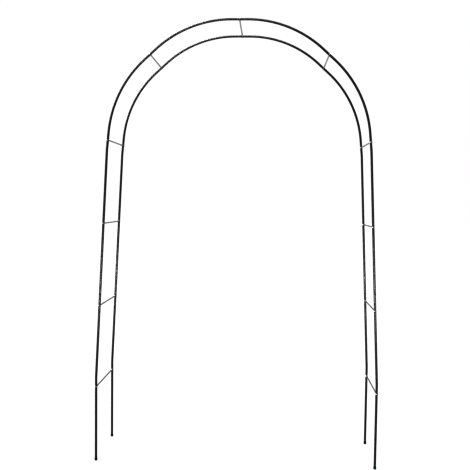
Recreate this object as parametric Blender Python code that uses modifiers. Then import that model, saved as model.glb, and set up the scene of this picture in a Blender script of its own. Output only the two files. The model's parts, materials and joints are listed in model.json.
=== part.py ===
"""Garden trellis arch: two hoops of push-fit steel tube, held apart by rungs.

Units are metres. +X spans the walkway, +Y runs through it and +Z is up. The origin is on the
ground, midway between the four feet. Each hoop is a chain of tube sections. A section ends in a
swaged neck that plugs into the plain mouth of the next one, and the ring at each end of a rung
is trapped round that neck. The arch lifts straight up off the necks of its four ground stakes.
"""

import math

import bmesh
import bpy
from mathutils import Matrix, Vector

OBJECT_NAME = "trellis_arch"

# Driving dimensions: tube stock and the push-fit
TUBE_RADIUS = 0.006
TUBE_WALL = 0.0008
FIT_GAP = 0.0003
NECK_RADIUS = TUBE_RADIUS - TUBE_WALL - FIT_GAP
NECK_INSERTION = 0.036
SWAGE_LENGTH = 0.0015

# Driving dimensions: the chain of sections in one half of a hoop
HOOP_SPACING = 0.38
STAKE_LENGTH = 0.410
LEG_LENGTH = 0.4483
LEG_SPLAY = math.radians(2.6)
SPLAY_BEND_RADIUS = 0.30
SOCKET_STRAIGHT = 0.045
ARC_TURN = math.radians(42.4)
ARC_RADIUS = 0.595
ARC_STRAIGHT = 0.042

# Driving dimensions: rungs and feet
RUNG_ROD_RADIUS = 0.0035
RING_RADIUS = 0.0075
RING_BORE_RADIUS = NECK_RADIUS + FIT_GAP
RING_HEIGHT = 0.005
RING_CHAMFER = 0.0006
ROD_EMBED = 0.0012
CAP_RADIUS = 0.0073
CAP_HEIGHT = 0.014
CAP_FLOOR = 0.002
CAP_CHAMFER = 0.001
CAP_BORE_RADIUS = TUBE_RADIUS + FIT_GAP

# Mesh fineness
TUBE_BEVEL_RESOLUTION = 6
ROUND_SIDES = 16
ROD_SIDES = 12
ARC_STEP = math.radians(5.4)
WELD_DISTANCE = 0.00001
CUTTER_OVERRUN = 0.003
SMOOTH_ANGLE = math.radians(35)

JOINT_HALF_GAP = RING_HEIGHT / 2 + FIT_GAP

# A section is a list of runs (length, turn) from its lower joint point to its upper one.
SPLAY_BEND = (SPLAY_BEND_RADIUS * LEG_SPLAY, LEG_SPLAY)
LEG_REST = LEG_LENGTH - SOCKET_STRAIGHT - SPLAY_BEND[0]
ARC_RUNS = [(ARC_STRAIGHT, 0.0), (ARC_RADIUS * ARC_TURN, ARC_TURN), (ARC_STRAIGHT, 0.0)]
SECTIONS = {
    "stake": [(STAKE_LENGTH, 0.0)],
    "leg_low": [(SOCKET_STRAIGHT, 0.0), SPLAY_BEND, (LEG_REST, 0.0)],
    "leg_mid": [(LEG_LENGTH, 0.0)],
    "leg_top": [(LEG_REST, 0.0), SPLAY_BEND, (SOCKET_STRAIGHT, 0.0)],
    "arc_low": ARC_RUNS,
    "arc_high": ARC_RUNS,
}
RUNG_LEVELS = ["bottom", "lower", "upper", "spring", "shoulder"]


def clear_scene():
    """Remove what a new file holds."""
    for obj in list(bpy.data.objects):
        bpy.data.objects.remove(obj, do_unlink=True)


def make_collection(name):
    """Add an empty collection to the scene."""
    collection = bpy.data.collections.new(name)
    bpy.context.scene.collection.children.link(collection)
    return collection


def make_material(name, color, roughness, metallic):
    """Make a plain Principled material."""
    material = bpy.data.materials.new(name)
    material.use_nodes = True
    shader = material.node_tree.nodes["Principled BSDF"]
    shader.inputs["Base Color"].default_value = (*color, 1.0)
    shader.inputs["Roughness"].default_value = roughness
    shader.inputs["Metallic"].default_value = metallic
    return material


def follow(runs, distance):
    """Return the point and tilt from +Z towards +X at a distance along a chain of runs."""
    point = Vector((0.0, 0.0, 0.0))
    tilt = 0.0
    last = len(runs) - 1
    for index, (length, turn) in enumerate(runs):
        step = min(distance, length) if index < last else distance
        if turn:
            radius = length / turn
            new_tilt = tilt + step / radius
            across = math.cos(tilt) - math.cos(new_tilt)
            along = math.sin(new_tilt) - math.sin(tilt)
            point += radius * Vector((across, 0.0, along))
            tilt = new_tilt
        else:
            point += step * Vector((math.sin(tilt), 0.0, math.cos(tilt)))
        distance -= step
        if distance <= 0:
            break
    return point, tilt


def length_of(runs):
    """Return the whole length of a chain of runs."""
    return sum(length for length, _ in runs)


def bend_stations(runs):
    """List the distances at which a path needs points: run ends and steps round each bend."""
    stations = []
    start = 0.0
    for length, turn in runs:
        steps = max(1, math.ceil(turn / ARC_STEP))
        stations += [start + length * i / steps for i in range(1, steps + 1)]
        start += length
    return stations[:-1]


def round_bar(runs, ends):
    """Sweep a round bar along a path and return its mesh.

    ends lists (distance, radius) from the lower end to the upper; the bend's points go between
    them, each with the radius of the stretch that it lies in.
    """
    first = ends[0][0]
    last = ends[-1][0]
    stations = list(ends)
    for distance in bend_stations(runs):
        if first < distance < last:
            below = max(end for end in ends if end[0] <= distance)
            stations.append((distance, below[1]))
    stations.sort(key=lambda station: station[0])

    curve = bpy.data.curves.new("bar", "CURVE")
    curve.dimensions = "3D"
    curve.bevel_depth = 1.0
    curve.bevel_resolution = TUBE_BEVEL_RESOLUTION
    curve.use_fill_caps = True
    spline = curve.splines.new("POLY")
    spline.points.add(len(stations) - 1)
    for control, (distance, radius) in zip(spline.points, stations):
        control.co = (*follow(runs, distance)[0], 1.0)
        control.radius = radius
    return mesh_of(bpy.data.objects.new("bar", curve))


def mesh_of(obj):
    """Evaluate a scratch object to a closed mesh and remove the object."""
    bpy.context.scene.collection.objects.link(obj)
    depsgraph = bpy.context.evaluated_depsgraph_get()
    mesh = bpy.data.meshes.new_from_object(obj.evaluated_get(depsgraph))
    bpy.data.objects.remove(obj, do_unlink=True)
    bm = bmesh.new()
    bm.from_mesh(mesh)
    bmesh.ops.remove_doubles(bm, verts=bm.verts, dist=WELD_DISTANCE)
    bmesh.ops.recalc_face_normals(bm, faces=bm.faces)
    bm.to_mesh(mesh)
    bm.free()
    return mesh


def combine(mesh, others, operation):
    """Cut or join a mesh with others and return the result."""
    base = bpy.data.objects.new("base", mesh)
    tools = []
    for other in others:
        tool = bpy.data.objects.new("tool", other)
        bpy.context.scene.collection.objects.link(tool)
        tools.append(tool)
        modifier = base.modifiers.new(operation.lower(), "BOOLEAN")
        modifier.operation = operation
        modifier.object = tool
    result = mesh_of(base)
    for tool in tools:
        bpy.data.objects.remove(tool, do_unlink=True)
    return result


def turned(profile, closed, centre=(0.0, 0.0, 0.0)):
    """Turn a profile of (radius, height) points round +Z, centred on a point."""
    mesh = bpy.data.meshes.new("profile")
    points = [(radius, 0.0, height) for radius, height in profile]
    edges = [(i, i + 1) for i in range(len(points) - 1)]
    if closed:
        edges.append((len(points) - 1, 0))
    mesh.from_pydata(points, edges, [])
    obj = bpy.data.objects.new("turned", mesh)
    screw = obj.modifiers.new("turn", "SCREW")
    screw.steps = ROUND_SIDES
    screw.render_steps = ROUND_SIDES
    screw.use_merge_vertices = True
    screw.merge_threshold = WELD_DISTANCE
    result = mesh_of(obj)
    result.transform(Matrix.Translation(centre))
    return result


def tube_mesh(runs, lower_cut, neck):
    """Make one hollow section: a plain mouth below, and above a swaged neck or a second mouth."""
    shoulder = length_of(runs) - JOINT_HALF_GAP
    bore = TUBE_RADIUS - TUBE_WALL
    if neck:
        tip = shoulder + 2 * JOINT_HALF_GAP + NECK_INSERTION
        outside = [
            (lower_cut, TUBE_RADIUS),
            (shoulder - SWAGE_LENGTH, TUBE_RADIUS),
            (shoulder, NECK_RADIUS),
            (tip, NECK_RADIUS),
        ]
        inside = [
            (lower_cut - CUTTER_OVERRUN, bore),
            (shoulder - 2 * SWAGE_LENGTH, bore),
            (shoulder - SWAGE_LENGTH, NECK_RADIUS - TUBE_WALL),
            (tip + CUTTER_OVERRUN, NECK_RADIUS - TUBE_WALL),
        ]
    else:
        outside = [(lower_cut, TUBE_RADIUS), (shoulder, TUBE_RADIUS)]
        inside = [(lower_cut - CUTTER_OVERRUN, bore), (shoulder + CUTTER_OVERRUN, bore)]
    return combine(round_bar(runs, outside), [round_bar(runs, inside)], "DIFFERENCE")


def rung_mesh():
    """Make a rung: a rod along Y with a ring welded to each end."""
    half = RING_HEIGHT / 2
    profile = [
        (RING_RADIUS, half - RING_CHAMFER),
        (RING_RADIUS, -half + RING_CHAMFER),
        (RING_RADIUS - RING_CHAMFER, -half),
        (RING_BORE_RADIUS, -half),
        (RING_BORE_RADIUS, half),
        (RING_RADIUS - RING_CHAMFER, half),
    ]
    rod_length = HOOP_SPACING - 2 * (RING_RADIUS - ROD_EMBED)
    bpy.ops.mesh.primitive_cylinder_add(
        vertices=ROD_SIDES, radius=RUNG_ROD_RADIUS, depth=rod_length, rotation=(math.pi / 2, 0, 0)
    )
    rod = bpy.context.object
    rod.data.transform(rod.matrix_world)
    rod_mesh = rod.data
    bpy.data.objects.remove(rod, do_unlink=True)
    rings = [turned(profile, True, (0.0, side * HOOP_SPACING / 2, 0.0)) for side in (-1, 1)]
    return combine(rod_mesh, rings, "UNION")


def cap_mesh():
    """Make a foot cap: a cup with its flat bottom at z = 0."""
    profile = [
        (0.0, CAP_FLOOR),
        (CAP_BORE_RADIUS, CAP_FLOOR),
        (CAP_BORE_RADIUS, CAP_HEIGHT),
        (CAP_RADIUS, CAP_HEIGHT),
        (CAP_RADIUS, CAP_CHAMFER),
        (CAP_RADIUS - CAP_CHAMFER, 0.0),
        (0.0, 0.0),
    ]
    return turned(profile, False)


def half_hoop():
    """List a left half hoop's sections from foot to crown, each with its start and its end.

    A start or an end is (point, tilt); the crown is at x = 0.
    """
    point = Vector((0.0, 0.0, 0.0))
    tilt = 0.0
    chain = []
    for name, runs in SECTIONS.items():
        start = (point, tilt)
        step, turn = follow(runs, length_of(runs))
        point = point + Matrix.Rotation(tilt, 3, "Y") @ step
        tilt += turn
        chain.append((name, start, (point, tilt)))
    to_middle = Vector((-point.x, 0.0, 0.0))
    return [
        (name, (start[0] + to_middle, start[1]), (end[0] + to_middle, end[1]))
        for name, start, end in chain
    ]


def place(name, mesh, material, parent, location, rotation):
    """Add a finished piece to the arch's collection."""
    obj = bpy.data.objects.new(name, mesh)
    if not mesh.materials:
        mesh.materials.append(material)
        mesh.shade_smooth()
        mesh.set_sharp_from_angle(angle=SMOOTH_ANGLE)
    bpy.data.collections[OBJECT_NAME].objects.link(obj)
    obj.location = location
    obj.rotation_euler = rotation
    obj.parent = parent
    return obj


def add_empty(name):
    """Add an empty that carries the pieces of one body."""
    empty = bpy.data.objects.new(name, None)
    bpy.data.collections[OBJECT_NAME].objects.link(empty)
    return empty


def build_hoops(chain, stakes, arch):
    """Place the tube sections of both hoops, and the feet."""
    powder_coat = make_material("black_powder_coat", (0.047, 0.047, 0.047), 0.2, 0.0)
    plastic = make_material("black_plastic", (0.012, 0.012, 0.012), 0.55, 0.0)
    foot = cap_mesh()
    meshes = {}
    for name, runs in SECTIONS.items():
        lower_cut = CAP_FLOOR + FIT_GAP if name == "stake" else JOINT_HALF_GAP
        meshes[name] = tube_mesh(runs, lower_cut, neck=True)
    crown_sleeve = tube_mesh(SECTIONS["arc_high"], JOINT_HALF_GAP, neck=False)

    for hoop, y in (("front", -HOOP_SPACING / 2), ("rear", HOOP_SPACING / 2)):
        for side, mirror, spin in (("left", 1, 0.0), ("right", -1, math.pi)):
            for name, (point, tilt), _ in chain:
                last_right = name == "arc_high" and side == "right"
                mesh = crown_sleeve if last_right else meshes[name]
                parent = stakes if name == "stake" else arch
                place(
                    f"{hoop}_{side}_{name}",
                    mesh,
                    powder_coat,
                    parent,
                    (mirror * point.x, y, point.z),
                    (0.0, tilt, spin),
                )
            base = chain[0][1][0]
            location = (mirror * base.x, y, base.z)
            place(f"{hoop}_{side}_foot_cap", foot, plastic, stakes, location, (0, 0, 0))


def build_rungs(chain, arch):
    """Place a rung at every joint between sections."""
    zinc = make_material("zinc_plate", (0.5, 0.5, 0.5), 0.4, 1.0)
    mesh = rung_mesh()
    for level, (_, _, (point, tilt)) in zip(RUNG_LEVELS, chain):
        for side, mirror in (("left", 1), ("right", -1)):
            location = (mirror * point.x, 0.0, point.z)
            place(f"rung_{side}_{level}", mesh, zinc, arch, location, (0, mirror * tilt, 0))
    _, _, (crown, tilt) = chain[-1]
    place("rung_crown", mesh, zinc, arch, crown, (0, tilt, 0))


def main():
    """Build the arch."""
    clear_scene()
    make_collection(OBJECT_NAME)
    chain = half_hoop()
    stakes = add_empty("ground_stakes")
    arch = add_empty("arch")
    build_hoops(chain, stakes, arch)
    build_rungs(chain, arch)


main()
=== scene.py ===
"""Looks of the garden trellis arch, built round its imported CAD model.

Every tube section, rung and foot cap of the CAD model is replaced by a finer piece of the same
size in the same place: tubes with swaged necks and deburred mouths, rungs with flattened ends
welded to their rings, and moulded caps. Units are metres, +Z is up, +X spans the walkway, and
the front hoop is the one at -Y.
"""

import json
import math

import bmesh
import bpy
import numpy as np
from mathutils import Euler, Matrix, Vector

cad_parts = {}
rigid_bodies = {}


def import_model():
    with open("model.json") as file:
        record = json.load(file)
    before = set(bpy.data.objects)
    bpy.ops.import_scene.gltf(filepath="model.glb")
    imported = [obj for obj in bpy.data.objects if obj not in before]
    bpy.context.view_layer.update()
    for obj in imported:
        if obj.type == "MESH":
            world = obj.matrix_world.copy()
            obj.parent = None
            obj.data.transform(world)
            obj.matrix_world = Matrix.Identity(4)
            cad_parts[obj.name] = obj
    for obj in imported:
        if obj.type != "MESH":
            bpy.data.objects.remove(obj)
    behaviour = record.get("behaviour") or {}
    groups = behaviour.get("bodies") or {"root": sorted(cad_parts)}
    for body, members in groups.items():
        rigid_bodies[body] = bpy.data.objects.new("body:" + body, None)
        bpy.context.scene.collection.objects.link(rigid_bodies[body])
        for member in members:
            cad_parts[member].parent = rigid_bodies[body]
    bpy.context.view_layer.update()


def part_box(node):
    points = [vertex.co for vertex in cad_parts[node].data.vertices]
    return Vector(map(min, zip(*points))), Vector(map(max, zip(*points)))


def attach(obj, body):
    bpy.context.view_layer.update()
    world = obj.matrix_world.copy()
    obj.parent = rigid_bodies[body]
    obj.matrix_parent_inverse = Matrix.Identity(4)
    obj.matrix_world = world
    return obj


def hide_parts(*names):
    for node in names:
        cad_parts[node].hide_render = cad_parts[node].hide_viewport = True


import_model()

# The part's driving dimensions
TUBE_RADIUS = 0.006
TUBE_WALL = 0.0008
FIT_GAP = 0.0003
NECK_RADIUS = TUBE_RADIUS - TUBE_WALL - FIT_GAP
NECK_INSERTION = 0.036
SWAGE_LENGTH = 0.0015
HOOP_SPACING = 0.38
STAKE_LENGTH = 0.410
LEG_LENGTH = 0.4483
LEG_SPLAY = math.radians(2.6)
SPLAY_BEND_RADIUS = 0.30
SOCKET_STRAIGHT = 0.045
ARC_TURN = math.radians(42.4)
ARC_RADIUS = 0.595
ARC_STRAIGHT = 0.042
ROD_RADIUS = 0.0035
RING_RADIUS = 0.0075
RING_BORE = NECK_RADIUS + FIT_GAP
RING_HEIGHT = 0.005
ROD_EMBED = 0.0012
CAP_RADIUS = 0.0073
CAP_HEIGHT = 0.014
CAP_FLOOR = 0.002
CAP_BORE = TUBE_RADIUS + FIT_GAP
JOINT_HALF_GAP = RING_HEIGHT / 2 + FIT_GAP

# A section is a list of runs (length, turn) from its lower joint point to its upper one.
SPLAY_BEND = (SPLAY_BEND_RADIUS * LEG_SPLAY, LEG_SPLAY)
LEG_REST = LEG_LENGTH - SOCKET_STRAIGHT - SPLAY_BEND[0]
ARC_RUNS = [(ARC_STRAIGHT, 0.0), (ARC_RADIUS * ARC_TURN, ARC_TURN), (ARC_STRAIGHT, 0.0)]
SECTIONS = {
    "stake": [(STAKE_LENGTH, 0.0)],
    "leg_low": [(SOCKET_STRAIGHT, 0.0), SPLAY_BEND, (LEG_REST, 0.0)],
    "leg_mid": [(LEG_LENGTH, 0.0)],
    "leg_top": [(LEG_REST, 0.0), SPLAY_BEND, (SOCKET_STRAIGHT, 0.0)],
    "arc_low": ARC_RUNS,
    "arc_high": ARC_RUNS,
}
RUNG_LEVELS = ["bottom", "lower", "upper", "spring", "shoulder"]

# Fine shapes that only the looks have
HOLD_BACK = 0.002
MOUTH_EDGE = 0.00035
MOUTH_WEAR = MOUTH_EDGE * 0.6
NECK_CHAMFER = 0.0012
SWAGE_EASE = 0.0008
RING_EDGE = 0.0007
ROD_FLAT_HEIGHT = 0.0023
ROD_FLAT_WIDTH = 0.0042
ROD_FLAT_LENGTH = 0.004
ROD_TAPER_LENGTH = 0.012
WELD_DROPS = 21
WELD_DROP_RADIUS = 0.0010
WELD_DROP_SPREAD = 0.00015
WELD_WAVES = 5
WELD_HEAT_REACH = 0.008
CAP_RIBS = 4
CAP_RIB_PITCH = 0.0022
CAP_RIB_DEPTH = 0.00035
CAP_RIB_STEPS = (0.0, 0.2, 0.4, 0.6)
CAP_EDGE = 0.0007
RUB_REACH = 0.006

# Mesh fineness, and how far a piece's box may lie from its CAD node's
TUBE_SIDES = 32
RING_SIDES = 48
ROD_SIDES = 24
WELD_DROP_SIDES = 14
WELD_DROP_ROWS = 9
TAPER_STEPS = 6
EDGE_STEPS = 4
RING_EDGE_STEPS = 5
CAP_EDGE_STEPS = 3
BEND_STEP = math.radians(1.2)
TUBE_CREASE = math.radians(40)
RUNG_CREASE = math.radians(38)
CAP_CREASE = math.radians(35)
FIT_TOLERANCE = 0.0012

# The finishes. A pair is the range that noise moves in, but a bump is its strength and height.
NOISE_BAND = (0.3, 0.7)
COAT_LEVELS = (0.042, 0.052)
COAT_ROUGHNESS = (0.22, 0.28)
COAT_IOR = 1.6
COAT_GRAIN_SHARE = 0.25
COAT_BUMP = (0.12, 0.00004)
CHIP_REACH = 0.6
CHIP_LIMIT = 0.41
BARE_SHARE = 0.7
RAGGED_SHARE = 0.3
BARE_LIMIT = 0.5
STEEL_LEVELS = (0.28, 0.48)
STEEL_ROUGHNESS = 0.42
STEEL_STEP = 0.4
ROD_LEVELS = (0.49, 0.59)
RING_LEVELS = (0.60, 0.74)
STAIN_SHARES = (0.35, 0.95)
STAIN_LEVEL = 0.36
ROD_ROUGHNESS = (0.20, 0.28)
RING_ROUGHNESS = (0.74, 0.88)
ZINC_SPECK_SHARE = 0.45
ZINC_BUMP = (0.3, 0.00003)
PLASTIC_LEVELS = (0.009, 0.015)
PLASTIC_ROUGHNESS = (0.48, 0.62)
PLASTIC_BUMP = (0.3, 0.00006)

# The camera
CAMERA_PLACE = (0.173, -3.815, 1.446)
CAMERA_YAW = math.radians(2.889)
CAMERA_PITCH = math.radians(-3.034)
CAMERA_ROLL = math.radians(-0.725)
CAMERA_LENS_MM = 51.95
CAMERA_SENSOR_MM = 36.0
CAMERA_REACH = 200.0

# The studio. The room's grey levels go by how far a direction rises (its Z). The strip and its
# bar are bright where a direction leans to one side, and a pair says where a light starts and
# where it is full.
BACKDROP_WHITE = 1.01
ROOM_LEVELS = [
    (-1.0, 0.60),
    (-0.35, 0.80),
    (-0.18, 0.95),
    (0.0, 0.62),
    (0.20, 0.46),
    (1.0, 0.40),
]
ROOM_FRONT = 0.35
STRIP_EDGE = (0.03, 0.38)
STRIP_SIDE = (-0.68, 0.0, 0.73)
STRIP_SPREAD = (0.05, 0.90)
STRIP_WIDTH = (0.62, 0.22)
STRIP_LEVEL = 10.5
BAR_ACROSS = (0.93, 0.0, 0.36)
BAR_SPREAD = (0.16, 0.02)
BAR_LEVEL = 10.0
SOFTBOX_PLACE = (0.35, -4.0, 0.41)
SOFTBOX_AIM = (0.0, 0.0, 1.2)
SOFTBOX_SIZE = (2.00, 0.25)
SOFTBOX_POWER = 130.0
FLOOR_SIZE = 80.0
FLOOR_GREY = 0.02
FLOOR_ROUGHNESS = 0.9
FLOOR_GLOW = 0.97


# ---------------------------------------------------------------- paths and profiles


def follow(runs, distance):
    """Return the point and tilt from +Z towards +X at a distance along a chain of runs."""
    point = Vector((0.0, 0.0, 0.0))
    tilt = 0.0
    last = len(runs) - 1
    for index, (length, turn) in enumerate(runs):
        step = min(distance, length) if index < last else distance
        if turn:
            radius = length / turn
            new_tilt = tilt + step / radius
            across = math.cos(tilt) - math.cos(new_tilt)
            along = math.sin(new_tilt) - math.sin(tilt)
            point += radius * Vector((across, 0.0, along))
            tilt = new_tilt
        else:
            point += step * Vector((math.sin(tilt), 0.0, math.cos(tilt)))
        distance -= step
        if distance <= 0:
            break
    return point, tilt


def length_of(runs):
    """Return a path's whole length."""
    return sum(length for length, _ in runs)


def bend_stations(runs):
    """List the distances at which a bent stretch needs a ring of points."""
    stations = []
    start = 0.0
    for length, turn in runs:
        if turn:
            steps = math.ceil(turn / BEND_STEP)
            stations += [start + length * i / steps for i in range(steps + 1)]
        start += length
    return stations


def half_hoop():
    """List a left half hoop's sections from foot to crown, each with its start and its end."""
    point = Vector((0.0, 0.0, 0.0))
    tilt = 0.0
    chain = []
    for name, runs in SECTIONS.items():
        start = (point, tilt)
        step, turn = follow(runs, length_of(runs))
        point = point + Matrix.Rotation(tilt, 3, "Y") @ step
        tilt += turn
        chain.append((name, start, (point, tilt)))
    to_middle = Vector((-point.x, 0.0, 0.0))
    return [
        (name, (start[0] + to_middle, start[1]), (end[0] + to_middle, end[1]))
        for name, start, end in chain
    ]


def rounded(corners, radius, steps=EDGE_STEPS):
    """Round the corners of an open profile of (a, b) points, leaving its ends."""
    out = [corners[0]]
    for before, here, after in zip(corners, corners[1:], corners[2:]):
        a, b, c = Vector(before), Vector(here), Vector(after)
        cut = min(radius, (a - b).length / 2, (c - b).length / 2)
        p = b + (a - b).normalized() * cut
        q = b + (c - b).normalized() * cut
        for i in range(steps + 1):
            t = i / steps
            out.append(tuple(p * (1 - t) ** 2 + b * 2 * t * (1 - t) + q * t**2))
    out.append(corners[-1])
    return out


# ---------------------------------------------------------------- meshes


def new_mesh(bm):
    """Turn a closed bmesh's faces outwards and return it as a mesh."""
    bmesh.ops.recalc_face_normals(bm, faces=bm.faces)
    mesh = bpy.data.meshes.new("shape")
    bm.to_mesh(mesh)
    bm.free()
    return mesh


def finish_mesh(mesh, crease, places=None):
    """Shade a mesh smooth but for its edges, and store where each point is on its material.

    Edges sharper than the crease angle stay sharp. places are the points' coordinates for the
    material, along the unbent piece; a piece that isn't bent uses its own.
    """
    mesh.shade_smooth()
    mesh.set_sharp_from_angle(angle=crease)
    if places is None:
        places = [v.co for v in mesh.vertices]
    attribute = mesh.attributes.new("place", "FLOAT_VECTOR", "POINT")
    attribute.data.foreach_set("vector", np.array(places, dtype=np.float32).ravel())


def add_mark(mesh, name, values):
    """Store one number a point under a name that a material reads."""
    attribute = mesh.attributes.new(name, "FLOAT", "POINT")
    attribute.data.foreach_set("value", values)


def skin(bm, rings, closed):
    """Join rings of points into walls; a ring of one point closes an end."""
    pairs = list(zip(rings, rings[1:]))
    if closed:
        pairs.append((rings[-1], rings[0]))
    for low, high in pairs:
        for k in range(max(len(low), len(high))):
            m = k + 1
            corners = [
                low[k % len(low)],
                low[m % len(low)],
                high[m % len(high)],
                high[k % len(high)],
            ]
            bm.faces.new(list(dict.fromkeys(corners)))


def lathe(profile, sides, closed):
    """Turn a profile of (radius, height) points round Z and return a closed mesh."""
    bm = bmesh.new()
    rings = []
    for radius, height in profile:
        if radius == 0:
            rings.append([bm.verts.new((0.0, 0.0, height))])
            continue
        angles = [math.tau * k / sides for k in range(sides)]
        points = [(radius * math.cos(a), radius * math.sin(a), height) for a in angles]
        rings.append([bm.verts.new(point) for point in points])
    skin(bm, rings, closed)
    return new_mesh(bm)


def union(meshes):
    """Join meshes into one by Boolean unions.

    Where many small meshes cross, some edges come out open, and not the same ones each run.
    """
    objects = [bpy.data.objects.new("joined", mesh) for mesh in meshes]
    for obj in objects:
        bpy.context.scene.collection.objects.link(obj)
    base = objects[0]
    for tool in objects[1:]:
        modifier = base.modifiers.new("join", "BOOLEAN")
        modifier.operation = "UNION"
        modifier.object = tool
    depsgraph = bpy.context.evaluated_depsgraph_get()
    result = bpy.data.meshes.new_from_object(base.evaluated_get(depsgraph))
    for obj in objects:
        bpy.data.objects.remove(obj, do_unlink=True)
    return result


# ---------------------------------------------------------------- the pieces' shapes


def wall_profile(runs, lower_cut, neck):
    """Return a section's wall as a closed profile of (distance, radius).

    It runs up the outside and back down inside. The upper end is a neck, or else a plain mouth.
    """
    shoulder = length_of(runs) - JOINT_HALF_GAP
    bore = TUBE_RADIUS - TUBE_WALL
    throat = NECK_RADIUS - TUBE_WALL
    outside = [(lower_cut, TUBE_RADIUS - MOUTH_WEAR), (lower_cut + MOUTH_EDGE, TUBE_RADIUS)]
    inside = [(lower_cut + MOUTH_EDGE, bore), (lower_cut, bore + MOUTH_WEAR)]
    if neck:
        tip = shoulder + 2 * JOINT_HALF_GAP + NECK_INSERTION
        outside += [
            (shoulder - SWAGE_LENGTH, TUBE_RADIUS),
            (shoulder, NECK_RADIUS),
            (tip - NECK_CHAMFER, NECK_RADIUS),
            (tip, NECK_RADIUS - MOUTH_WEAR),
        ]
        inside = [
            (tip, throat),
            (shoulder - SWAGE_LENGTH, throat),
            (shoulder - 2 * SWAGE_LENGTH, bore),
        ] + inside
    else:
        outside += [(shoulder - MOUTH_EDGE, TUBE_RADIUS), (shoulder, TUBE_RADIUS - MOUTH_WEAR)]
        inside = [(shoulder, bore + MOUTH_WEAR), (shoulder - MOUTH_EDGE, bore)] + inside
    outside = rounded(outside, SWAGE_EASE)
    inside = rounded(inside, SWAGE_EASE)
    straight_from = lower_cut + HOLD_BACK
    straight_to = shoulder - 2 * SWAGE_LENGTH - HOLD_BACK
    stations = [d for d in bend_stations(runs) if straight_from < d < straight_to]
    for distance in [straight_from, *stations, straight_to]:
        outside.append((distance, TUBE_RADIUS))
        inside.append((distance, bore))
    outside.sort(key=lambda point: point[0])
    inside.sort(key=lambda point: -point[0])
    return outside + inside


def tube_mesh(runs, lower_cut, neck):
    """Sweep a section's wall along its path, and mark where the coat rubs and where it stops."""
    shoulder = length_of(runs) - JOINT_HALF_GAP
    bm = bmesh.new()
    rings, places, rub, bare = [], [], [], []
    for distance, radius in wall_profile(runs, lower_cut, neck):
        centre, tilt = follow(runs, distance)
        side = Vector((math.cos(tilt), 0.0, -math.sin(tilt)))
        ring = []
        for k in range(TUBE_SIDES):
            angle = math.tau * k / TUBE_SIDES
            x, y = radius * math.cos(angle), radius * math.sin(angle)
            ring.append(bm.verts.new(centre + side * x + Vector((0.0, y, 0.0))))
            places.append((x, y, distance))
        rings.append(ring)
        to_edge = min(abs(distance - lower_cut), abs(distance - shoulder))
        rub += [max(0.0, 1.0 - to_edge / RUB_REACH)] * TUBE_SIDES
        bare += [float(distance > shoulder + FIT_GAP)] * TUBE_SIDES
    skin(bm, rings, True)
    mesh = new_mesh(bm)
    finish_mesh(mesh, TUBE_CREASE, places)
    add_mark(mesh, "rub", rub)
    add_mark(mesh, "bare", bare)
    return mesh


def rod_mesh():
    """Make a rung's rod along Y, with both ends pressed flat to sit on their rings."""
    half = HOOP_SPACING / 2 - RING_RADIUS + ROD_EMBED
    stations = []
    for i in range(TAPER_STEPS + 1):
        ease = 0.5 - 0.5 * math.cos(math.pi * i / TAPER_STEPS)
        y = half - ROD_FLAT_LENGTH - ROD_TAPER_LENGTH * i / TAPER_STEPS
        width = ROD_FLAT_WIDTH + (ROD_RADIUS - ROD_FLAT_WIDTH) * ease
        height = ROD_FLAT_HEIGHT + (ROD_RADIUS - ROD_FLAT_HEIGHT) * ease
        stations.append((y, width, height))
    y, width, height = stations[-1]
    stations.append((y - HOLD_BACK, width, height))
    stations.insert(0, (half, ROD_FLAT_WIDTH, ROD_FLAT_HEIGHT))
    stations += [(-y, width, height) for y, width, height in reversed(stations)]
    bm = bmesh.new()
    angles = [math.tau * k / ROD_SIDES for k in range(ROD_SIDES)]
    rings = [
        [bm.verts.new((width * math.cos(a), y, height * math.sin(a))) for a in angles]
        for y, width, height in stations
    ]
    rings.insert(0, [bm.verts.new((0.0, half, 0.0))])
    rings.append([bm.verts.new((0.0, -half, 0.0))])
    skin(bm, rings, False)
    return new_mesh(bm)


def ring_mesh(side):
    """Make the ring at one end of a rung, its edges rounded."""
    half = RING_HEIGHT / 2
    middle = (RING_RADIUS + RING_BORE) / 2
    corners = [
        (middle, half),
        (RING_RADIUS, half),
        (RING_RADIUS, -half),
        (RING_BORE, -half),
        (RING_BORE, half),
        (middle, half),
    ]
    mesh = lathe(rounded(corners, RING_EDGE, RING_EDGE_STEPS)[:-1], RING_SIDES, True)
    mesh.transform(Matrix.Translation((0.0, side * HOOP_SPACING / 2, 0.0)))
    return mesh


def weld_drops(side):
    """List the drops of weld metal round a rod's flat end, where it meets its ring."""
    drops = []
    for i in range(WELD_DROPS):
        angle = math.tau * i / WELD_DROPS
        size = WELD_DROP_RADIUS + WELD_DROP_SPREAD * math.sin(WELD_WAVES * angle + side)
        x = ROD_FLAT_WIDTH * math.cos(angle)
        z = ROD_FLAT_HEIGHT * math.sin(angle)
        y = HOOP_SPACING / 2 - math.sqrt(RING_RADIUS**2 - x**2)
        bm = bmesh.new()
        bmesh.ops.create_uvsphere(
            bm, u_segments=WELD_DROP_SIDES, v_segments=WELD_DROP_ROWS, radius=size
        )
        bmesh.ops.translate(bm, verts=bm.verts, vec=(x, side * y, z))
        drops.append(new_mesh(bm))
    return drops


def rung_mesh():
    """Make a rung along Y: a rod with a ring welded to each end.

    Its marks say how near a weld's heat a point is, and whether it is on a ring.
    """
    parts = [rod_mesh()]
    for side in (-1, 1):
        parts.append(ring_mesh(side))
        parts += weld_drops(side)
    mesh = union(parts)
    finish_mesh(mesh, RUNG_CREASE)
    weld_at = HOOP_SPACING / 2 - RING_RADIUS
    past_weld = [abs(v.co.y) - weld_at for v in mesh.vertices]
    add_mark(mesh, "heat", [max(0.0, 1.0 - abs(gap) / WELD_HEAT_REACH) for gap in past_weld])
    add_mark(mesh, "ring", [float(gap > -WELD_DROP_RADIUS) for gap in past_weld])
    return mesh


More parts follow.
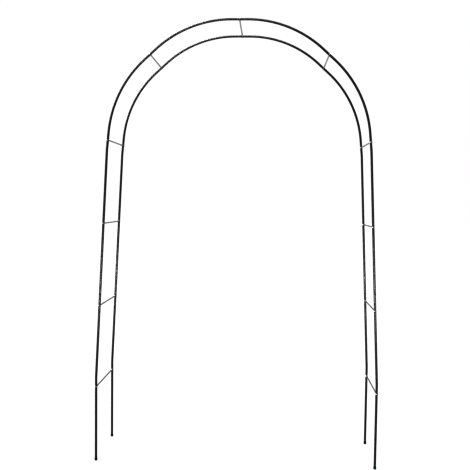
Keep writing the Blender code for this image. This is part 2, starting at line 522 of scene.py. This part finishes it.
def cap_mesh():
    """Make a foot cap with a rounded bottom edge and grip ribs round its wall."""
    wall = CAP_RADIUS - CAP_RIB_DEPTH
    outline = [(0.0, CAP_FLOOR), (CAP_BORE, CAP_FLOOR), (CAP_BORE, CAP_HEIGHT), (wall, CAP_HEIGHT)]
    for i in range(CAP_RIBS):
        top = CAP_HEIGHT - (i + 1) * CAP_RIB_PITCH
        for step, radius in zip(CAP_RIB_STEPS, (wall, CAP_RADIUS, CAP_RADIUS, wall)):
            outline.append((radius, top - step * CAP_RIB_PITCH))
    outline += [(wall, 0.0), (0.0, 0.0)]
    mesh = lathe(rounded(outline, CAP_EDGE, CAP_EDGE_STEPS), RING_SIDES, False)
    finish_mesh(mesh, CAP_CREASE)
    return mesh


# ---------------------------------------------------------------- materials


class Finish:
    """A material's nodes, with short calls for the kinds that the finishes share."""

    def __init__(self, name):
        """Start a material on one Principled shader."""
        self.material = bpy.data.materials.new(name)
        self.material.use_nodes = True
        self.tree = self.material.node_tree
        self.shader = self.tree.nodes["Principled BSDF"]

    def plug(self, socket, value):
        """Give a socket a number, a grey level or another node's output."""
        if isinstance(value, bpy.types.NodeSocket):
            self.tree.links.new(value, socket)
        elif socket.type == "RGBA":
            socket.default_value = (value, value, value, 1.0)
        else:
            socket.default_value = value

    def drive(self, name, value):
        """Set or link one of the shader's inputs."""
        self.plug(self.shader.inputs[name], value)

    def mark(self, name):
        """Read a number stored on the mesh."""
        made = self.tree.nodes.new("ShaderNodeAttribute")
        made.attribute_name = name
        return made.outputs["Fac"]

    def noise(self, scale, detail=4.0, roughness=0.55, stretch=(1.0, 1.0, 1.0)):
        """Make noise along the unbent piece, with scale features a metre."""
        place = self.tree.nodes.new("ShaderNodeAttribute")
        place.attribute_name = "place"
        mapping = self.tree.nodes.new("ShaderNodeMapping")
        mapping.inputs["Scale"].default_value = stretch
        made = self.tree.nodes.new("ShaderNodeTexNoise")
        made.inputs["Scale"].default_value = scale
        made.inputs["Detail"].default_value = detail
        made.inputs["Roughness"].default_value = roughness
        self.tree.links.new(place.outputs["Vector"], mapping.inputs["Vector"])
        self.tree.links.new(mapping.outputs["Vector"], made.inputs["Vector"])
        return made.outputs["Fac"]

    def spread(self, factor, low, high):
        """Map noise's middle band onto a range of values."""
        made = self.tree.nodes.new("ShaderNodeMapRange")
        self.plug(made.inputs["Value"], factor)
        made.inputs["From Min"].default_value = NOISE_BAND[0]
        made.inputs["From Max"].default_value = NOISE_BAND[1]
        made.inputs["To Min"].default_value = low
        made.inputs["To Max"].default_value = high
        return made.outputs["Result"]

    def calc(self, operation, a, b):
        """Combine two values with a Math node, kept between 0 and 1."""
        made = self.tree.nodes.new("ShaderNodeMath")
        made.operation = operation
        made.use_clamp = True
        self.plug(made.inputs[0], a)
        self.plug(made.inputs[1], b)
        return made.outputs["Value"]

    def mix(self, factor, a, b):
        """Go from a to b by a factor."""
        made = self.tree.nodes.new("ShaderNodeMix")
        self.plug(made.inputs["Factor"], factor)
        self.plug(made.inputs["A"], a)
        self.plug(made.inputs["B"], b)
        return made.outputs["Result"]

    def tint(self, level, red, green, blue):
        """Turn a grey level into a colour with the given share of each primary."""
        made = self.tree.nodes.new("ShaderNodeCombineColor")
        for channel, share in (("Red", red), ("Green", green), ("Blue", blue)):
            self.plug(made.inputs[channel], self.calc("MULTIPLY", level, share))
        return made.outputs["Color"]

    def bump(self, height, strength, distance):
        """Bump the shader's normal by a height."""
        made = self.tree.nodes.new("ShaderNodeBump")
        made.inputs["Strength"].default_value = strength
        made.inputs["Distance"].default_value = distance
        self.tree.links.new(height, made.inputs["Height"])
        self.drive("Normal", made.outputs["Normal"])


def powder_coat():
    """Semi-gloss black powder coat, chipped to steel at the mouths and left off the necks."""
    finish = Finish("powder_coat_black")
    cloud = finish.noise(scale=60.0)
    peel = finish.noise(scale=700.0, detail=2.0, roughness=0.5)
    grain = finish.noise(scale=1600.0, detail=3.0, roughness=0.6)
    chips = finish.noise(scale=420.0, detail=5.0, roughness=0.7)
    handling = finish.noise(scale=500.0, detail=3.0, roughness=0.6, stretch=(1.0, 1.0, 0.04))

    chip_reach = finish.calc("MULTIPLY", finish.mark("rub"), CHIP_REACH)
    chip = finish.calc("MULTIPLY", chips, chip_reach)
    chipped = finish.calc("GREATER_THAN", chip, CHIP_LIMIT)
    ragged = finish.calc("MULTIPLY", grain, RAGGED_SHARE)
    uncoated = finish.calc("ADD", finish.calc("MULTIPLY", finish.mark("bare"), BARE_SHARE), ragged)
    steel = finish.calc("MAXIMUM", chipped, finish.calc("GREATER_THAN", uncoated, BARE_LIMIT))

    coat_level = finish.spread(cloud, *COAT_LEVELS)
    level = finish.mix(steel, coat_level, finish.spread(handling, *STEEL_LEVELS))
    finish.drive("Base Color", finish.tint(level, 1.0, 1.0, 1.02))
    finish.drive("Metallic", steel)
    finish.drive("IOR", COAT_IOR)
    coat_roughness = finish.spread(finish.mix(0.5, cloud, handling), *COAT_ROUGHNESS)
    finish.drive("Roughness", finish.mix(steel, coat_roughness, STEEL_ROUGHNESS))
    skin_height = finish.mix(COAT_GRAIN_SHARE, peel, grain)
    step = finish.calc("MULTIPLY", steel, STEEL_STEP)
    finish.bump(finish.calc("SUBTRACT", skin_height, step), *COAT_BUMP)
    return finish.material


def zinc():
    """Dull zinc plate on drawn rod, mottled, and stained darker round the welds."""
    finish = Finish("rung_zinc_plate")
    finish.drive("Metallic", 1.0)
    bloom = finish.noise(scale=220.0)
    speck = finish.noise(scale=1800.0, detail=2.0, roughness=0.5)
    drawn = finish.noise(scale=1400.0, detail=3.0, roughness=0.6, stretch=(1.0, 0.03, 1.0))
    on_ring = finish.mark("ring")

    stain = finish.calc("MULTIPLY", finish.mark("heat"), finish.spread(bloom, *STAIN_SHARES))
    rod_level = finish.spread(bloom, *ROD_LEVELS)
    clean = finish.mix(on_ring, rod_level, finish.spread(bloom, *RING_LEVELS))
    level = finish.mix(stain, clean, STAIN_LEVEL)
    finish.drive("Base Color", finish.tint(level, 0.99, 1.0, 1.01))
    rod_roughness = finish.spread(finish.mix(0.5, bloom, speck), *ROD_ROUGHNESS)
    ring_roughness = finish.spread(speck, *RING_ROUGHNESS)
    finish.drive("Roughness", finish.mix(on_ring, rod_roughness, ring_roughness))
    finish.bump(finish.mix(ZINC_SPECK_SHARE, drawn, speck), *ZINC_BUMP)
    return finish.material


def plastic():
    """Matt black moulded plastic with a fine grain."""
    finish = Finish("foot_plastic_black")
    cloud = finish.noise(scale=150.0)
    grain = finish.noise(scale=2600.0, detail=2.0, roughness=0.5)
    finish.drive("Base Color", finish.tint(finish.spread(cloud, *PLASTIC_LEVELS), 1.0, 1.0, 1.0))
    finish.drive("Roughness", finish.spread(grain, *PLASTIC_ROUGHNESS))
    finish.bump(grain, *PLASTIC_BUMP)
    return finish.material


# ---------------------------------------------------------------- the arch


def add_piece(name, mesh, material, body, location, rotation):
    """Put a finished piece where its CAD node is, on the node's body, and hide the node."""
    placement = Matrix.Translation(location) @ Euler(rotation).to_matrix().to_4x4()
    own = mesh.copy()
    own.name = f"{name}_look"
    own.transform(placement)
    own.materials.append(material)

    # Shift the material as well, so that no two pieces show the same marks.
    places = own.attributes["place"].data
    values = np.empty(3 * len(places), dtype=np.float32)
    places.foreach_get("vector", values)
    shift = np.tile(np.array(location, dtype=np.float32), len(places))
    places.foreach_set("vector", values + shift)

    points = np.empty(3 * len(own.vertices), dtype=np.float32)
    own.vertices.foreach_get("co", points)
    points = points.reshape(-1, 3)
    off = np.array([points.min(0), points.max(0)]) - np.array(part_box(name))
    worst = abs(off).max()
    if worst > FIT_TOLERANCE:
        raise ValueError(f"{name} is {worst * 1000:.1f} mm off its CAD node")

    piece = bpy.data.objects.new(f"{name}_look", own)
    bpy.context.scene.collection.objects.link(piece)
    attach(piece, body)
    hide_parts(name)


def build_hoops(chain):
    """Build the tube sections of both hoops, and the feet."""
    coat = powder_coat()
    black = plastic()
    foot = cap_mesh()
    tubes = {}
    for name, runs in SECTIONS.items():
        lower_cut = CAP_FLOOR + FIT_GAP if name == "stake" else JOINT_HALF_GAP
        tubes[name] = tube_mesh(runs, lower_cut, True)
    crown_sleeve = tube_mesh(SECTIONS["arc_high"], JOINT_HALF_GAP, False)

    for hoop, y in (("front", -HOOP_SPACING / 2), ("rear", HOOP_SPACING / 2)):
        for side, mirror, spin in (("left", 1, 0.0), ("right", -1, math.pi)):
            for name, (point, tilt), _ in chain:
                mesh = crown_sleeve if (name, side) == ("arc_high", "right") else tubes[name]
                body = "ground_stakes" if name == "stake" else "arch"
                node = f"{hoop}_{side}_{name}"
                location = (mirror * point.x, y, point.z)
                add_piece(node, mesh, coat, body, location, (0, tilt, spin))
            base = chain[0][1][0]
            node = f"{hoop}_{side}_foot_cap"
            location = (mirror * base.x, y, base.z)
            add_piece(node, foot, black, "ground_stakes", location, (0, 0, 0))


def build_rungs(chain):
    """Build a rung at every joint between sections."""
    grey = zinc()
    rung = rung_mesh()
    for level, (_, _, (point, tilt)) in zip(RUNG_LEVELS, chain):
        for side, mirror in (("left", 1), ("right", -1)):
            location = (mirror * point.x, 0.0, point.z)
            node = f"rung_{side}_{level}"
            add_piece(node, rung, grey, "arch", location, (0, mirror * tilt, 0))
    _, _, (crown, tilt) = chain[-1]
    add_piece("rung_crown", rung, grey, "arch", crown, (0, tilt, 0))


# ---------------------------------------------------------------- the studio


def build_camera():
    """Stand the camera in front of the arch, a little to the right, and turned slightly left."""
    data = bpy.data.cameras.new("camera")
    data.sensor_width = CAMERA_SENSOR_MM
    data.lens = CAMERA_LENS_MM
    data.clip_end = CAMERA_REACH
    camera = bpy.data.objects.new("camera", data)
    bpy.context.scene.collection.objects.link(camera)
    camera.location = CAMERA_PLACE
    yaw = Matrix.Rotation(CAMERA_YAW, 3, "Z")
    pitch = Matrix.Rotation(CAMERA_PITCH, 3, "X")
    roll = Matrix.Rotation(CAMERA_ROLL, 3, "Y")
    upright = Euler((math.pi / 2, 0.0, 0.0)).to_matrix()
    camera.rotation_euler = (yaw @ pitch @ roll @ upright).to_euler()
    bpy.context.scene.camera = camera


def build_floor():
    """Lay a plain pale floor, glowing like a light table so that it runs into the backdrop."""
    bpy.ops.mesh.primitive_plane_add(size=FLOOR_SIZE)
    floor = bpy.context.object
    floor.name = "studio_floor"
    finish = Finish("studio_floor_white")
    finish.drive("Base Color", FLOOR_GREY)
    finish.drive("Roughness", FLOOR_ROUGHNESS)
    finish.drive("Specular IOR Level", 0.0)
    finish.drive("Emission Color", 1.0)
    finish.drive("Emission Strength", FLOOR_GLOW)
    floor.data.materials.append(finish.material)
    floor.visible_glossy = False
    floor.visible_diffuse = False


def build_world():
    """Show a white backdrop, and light the arch by a grey room and a strip over its left."""
    world = bpy.data.worlds.new("studio")
    bpy.context.scene.world = world
    world.use_nodes = True
    tree = world.node_tree
    direction = tree.nodes.new("ShaderNodeTexCoord").outputs["Generated"]
    parts = tree.nodes.new("ShaderNodeSeparateXYZ")
    tree.links.new(direction, parts.inputs["Vector"])
    depth, rise = parts.outputs["Y"], parts.outputs["Z"]

    def smooth(value, spread, levels=(0.0, 1.0)):
        """Go smoothly from one level to another as a value crosses its spread."""
        made = tree.nodes.new("ShaderNodeMapRange")
        made.interpolation_type = "SMOOTHSTEP"
        tree.links.new(value, made.inputs["Value"])
        numbers = (*spread, *levels)
        for name, number in zip(("From Min", "From Max", "To Min", "To Max"), numbers):
            made.inputs[name].default_value = number
        return made.outputs["Result"]

    def calc(operation, *values):
        """Combine outputs with a Math node."""
        made = tree.nodes.new("ShaderNodeMath")
        made.operation = operation
        for value, socket in zip(values, made.inputs):
            tree.links.new(value, socket)
        return made.outputs["Value"]

    def toward(axis):
        """Return how far the ray's direction leans towards an axis."""
        made = tree.nodes.new("ShaderNodeVectorMath")
        made.operation = "DOT_PRODUCT"
        made.inputs[1].default_value = axis
        tree.links.new(direction, made.inputs[0])
        return made.outputs["Value"]

    height = tree.nodes.new("ShaderNodeMapRange")
    height.inputs["From Min"].default_value = -1.0
    tree.links.new(rise, height.inputs["Value"])
    room = tree.nodes.new("ShaderNodeValToRGB")
    room.color_ramp.interpolation = "EASE"
    tree.links.new(height.outputs["Result"], room.inputs["Fac"])
    stops = room.color_ramp.elements
    while len(stops) < len(ROOM_LEVELS):
        stops.new(0.5)
    for stop, (stop_rise, level) in zip(stops, ROOM_LEVELS):
        stop.position = (stop_rise + 1) / 2
        stop.color = (level, level, level, 1.0)
    dimmed = smooth(depth, (0.0, 1.0), (ROOM_FRONT, 1.0))
    walls = calc("MULTIPLY", room.outputs["Color"], dimmed)

    above = smooth(rise, STRIP_EDGE)
    across = smooth(calc("ABSOLUTE", depth), STRIP_WIDTH)
    glow = smooth(toward(STRIP_SIDE), STRIP_SPREAD, (0.0, STRIP_LEVEL))
    bar = smooth(calc("ABSOLUTE", toward(BAR_ACROSS)), BAR_SPREAD, (0.0, BAR_LEVEL))
    strip = calc("MULTIPLY", calc("MULTIPLY", above, across), calc("ADD", glow, bar))

    path = tree.nodes.new("ShaderNodeLightPath")
    shown = tree.nodes.new("ShaderNodeMix")
    shown.inputs["B"].default_value = BACKDROP_WHITE
    tree.links.new(path.outputs["Is Camera Ray"], shown.inputs["Factor"])
    tree.links.new(calc("ADD", strip, walls), shown.inputs["A"])
    tree.links.new(shown.outputs["Result"], tree.nodes["Background"].inputs["Color"])


def build_lights():
    """Set one wide softbox low in front, kept off the rungs so that their steel doesn't flare."""
    light = bpy.data.lights.new("front_low", "AREA")
    light.shape = "RECTANGLE"
    light.size, light.size_y = SOFTBOX_SIZE
    light.energy = SOFTBOX_POWER
    lamp = bpy.data.objects.new("front_low", light)
    bpy.context.scene.collection.objects.link(lamp)
    lamp.location = SOFTBOX_PLACE
    aim = Vector(SOFTBOX_AIM) - Vector(SOFTBOX_PLACE)
    lamp.rotation_euler = aim.to_track_quat("-Z", "Y").to_euler()
    lamp.visible_camera = False

    flag = bpy.data.collections.new("flagged_off")
    for piece in bpy.data.objects:
        if piece.name.startswith("rung_"):
            flag.objects.link(piece)
    lamp.light_linking.receiver_collection = flag
    for entry in flag.collection_objects:
        entry.light_linking.link_state = "EXCLUDE"


def set_contrast():
    """Show the light's own values, so that thin dark tubes keep their width against the white."""
    bpy.context.scene.view_settings.view_transform = "Raw"


build_camera()
build_floor()
build_world()
set_contrast()
sections = half_hoop()
build_hoops(sections)
build_rungs(sections)
build_lights()
